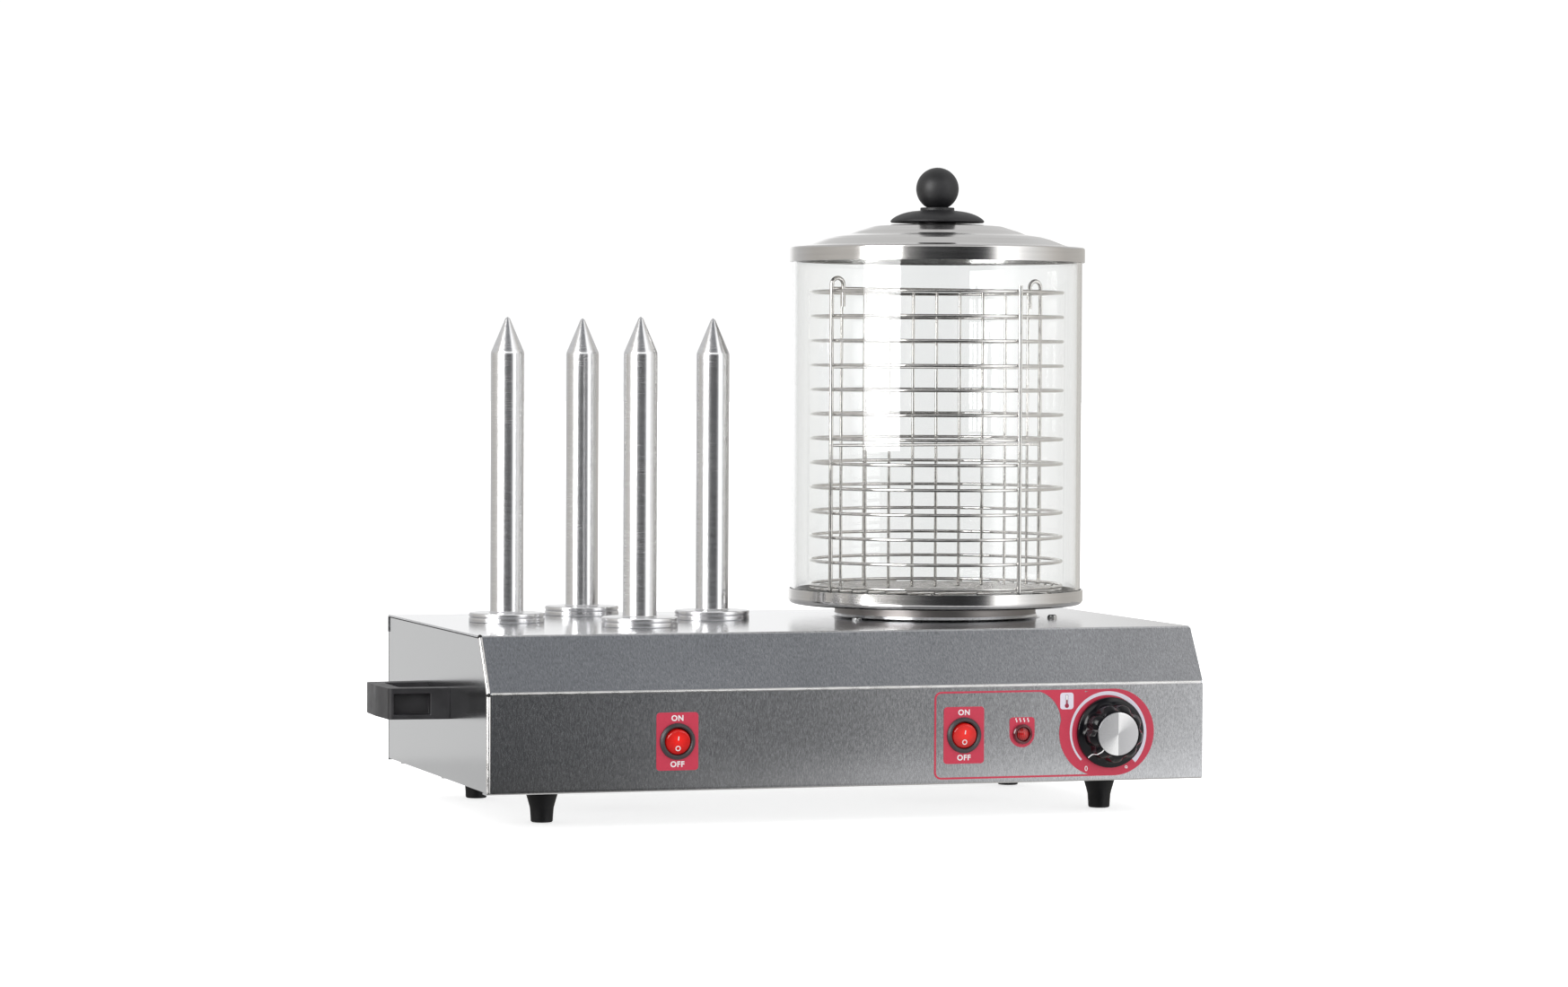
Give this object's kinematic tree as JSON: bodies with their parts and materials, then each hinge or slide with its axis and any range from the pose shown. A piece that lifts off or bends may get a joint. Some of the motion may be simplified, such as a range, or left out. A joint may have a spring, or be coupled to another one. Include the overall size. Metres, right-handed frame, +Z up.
{
  "type": "hot dog spike machine",
  "caption": "Counter-top hot dog machine with heated bun spikes, a glass steam cylinder holding a wire basket, a sloped steel housing and front controls.",
  "frame": {"origin": "on the surface the feet stand on, under the middle of the bounding box", "axes": "+X to the right seen from the front, +Y to the back, +Z up"},
  "size_m": [0.5824, 0.3166, 0.4421],
  "materials": {
    "steel_brushed": "long straight grain, satin",
    "steel_plain": "mill finish",
    "steel_polished": "spun and polished",
    "wire_steel": "bright drawn wire",
    "screw_steel": "bright plated",
    "spike_aluminium": "turned, satin",
    "cap_aluminium": "radially brushed",
    "foot_rubber": "moulded, matt",
    "silicone_orange": "matt",
    "silicone_clear": "translucent, satin",
    "black_matte": "moulded, fine texture",
    "black_gloss": "moulded, glossy",
    "label_red": "printed film",
    "lamp_red": "clear red, lit",
    "lamp_ring": "dark, glossy",
    "control_metal": "plated",
    "bulb_copper": "copper",
    "heater_metal": "dull",
    "terminal_white": "moulded",
    "glass_clear": "clear, polished"
  },
  "bodies": {
    "housing": {"housing_shell": "steel_brushed", "left_side_panel": "steel_brushed", "right_side_panel": "steel_brushed", "rear_panel": "steel_brushed", "base_plate": "steel_plain", "rear_screws": "screw_steel", "base_screws": "screw_steel", "rubber_feet": "foot_rubber", "foot_screws": "screw_steel", "foot_nuts": "screw_steel", "left_handle": "black_matte", "right_handle": "black_matte", "handle_screws": "screw_steel", "left_switch_label": "label_red", "right_switch_label": "label_red", "lamp_label": "label_red", "dial_label": "label_red", "left_switch_body": "black_gloss", "right_switch_body": "black_gloss", "pilot_lamp_body": "lamp_ring", "pilot_lamp_lens": "lamp_red", "thermostat_body": "control_metal", "thermostat_nut": "screw_steel", "boiler_pot": "steel_polished", "boiler_gasket": "silicone_orange", "boiler_nuts": "screw_steel", "heating_element": "heater_metal", "overheat_limiter": "control_metal", "thermostat_bulb": "bulb_copper", "left_spike": "spike_aluminium", "back_spike": "spike_aluminium", "front_spike": "spike_aluminium", "right_spike": "spike_aluminium", "spike_nuts": "screw_steel", "spike_heaters": "heater_metal", "terminal_block": "terminal_white", "cable_gland": "black_matte", "gland_nut": "black_matte"},
    "glass_unit": {"base_ring": "steel_polished", "glass_gasket": "silicone_clear", "glass_cylinder": "glass_clear"},
    "lid_unit": {"lid": "steel_polished", "lid_knob": "black_matte", "lid_knob_screw": "screw_steel"},
    "basket": {"basket_rings": "wire_steel", "basket_uprights": "wire_steel", "basket_floor": "wire_steel", "basket_partition": "wire_steel"},
    "left_rocker_unit": {"left_rocker": "lamp_red"},
    "right_rocker_unit": {"right_rocker": "lamp_red"},
    "knob_unit": {"control_knob": "black_gloss", "knob_cap": "cap_aluminium", "thermostat_shaft": "screw_steel"}
  },
  "joints": [
    {"name": "glass_lift", "type": "slide", "parent": "housing", "child": "glass_unit", "axis": [0, 0, 1], "range_m": [0, 0.12]},
    {"name": "lid_lift", "type": "slide", "parent": "glass_unit", "child": "lid_unit", "axis": [0, 0, 1], "range_m": [0, 0.28]},
    {"name": "basket_lift", "type": "slide", "parent": "glass_unit", "child": "basket", "axis": [0, 0, 1], "range_m": [0, 0.253]},
    {"name": "left_rocker_tilt", "type": "hinge", "parent": "housing", "child": "left_rocker_unit", "pos_m": [-0.122, -0.14015, 0.0564], "axis": [-1, 0, 0], "range_deg": [0, 24]},
    {"name": "right_rocker_tilt", "type": "hinge", "parent": "housing", "child": "right_rocker_unit", "pos_m": [0.0775, -0.14015, 0.0564], "axis": [-1, 0, 0], "range_deg": [0, 24]},
    {"name": "knob_turn", "type": "hinge", "parent": "housing", "child": "knob_unit", "pos_m": [0.1818, -0.14075, 0.0564], "axis": [0, 1, 0], "range_deg": [0, 270]}
  ],
  "couplings": [
    {"joint": "basket_lift", "follows": "lid_lift", "ratio": 0.9}
  ]
}
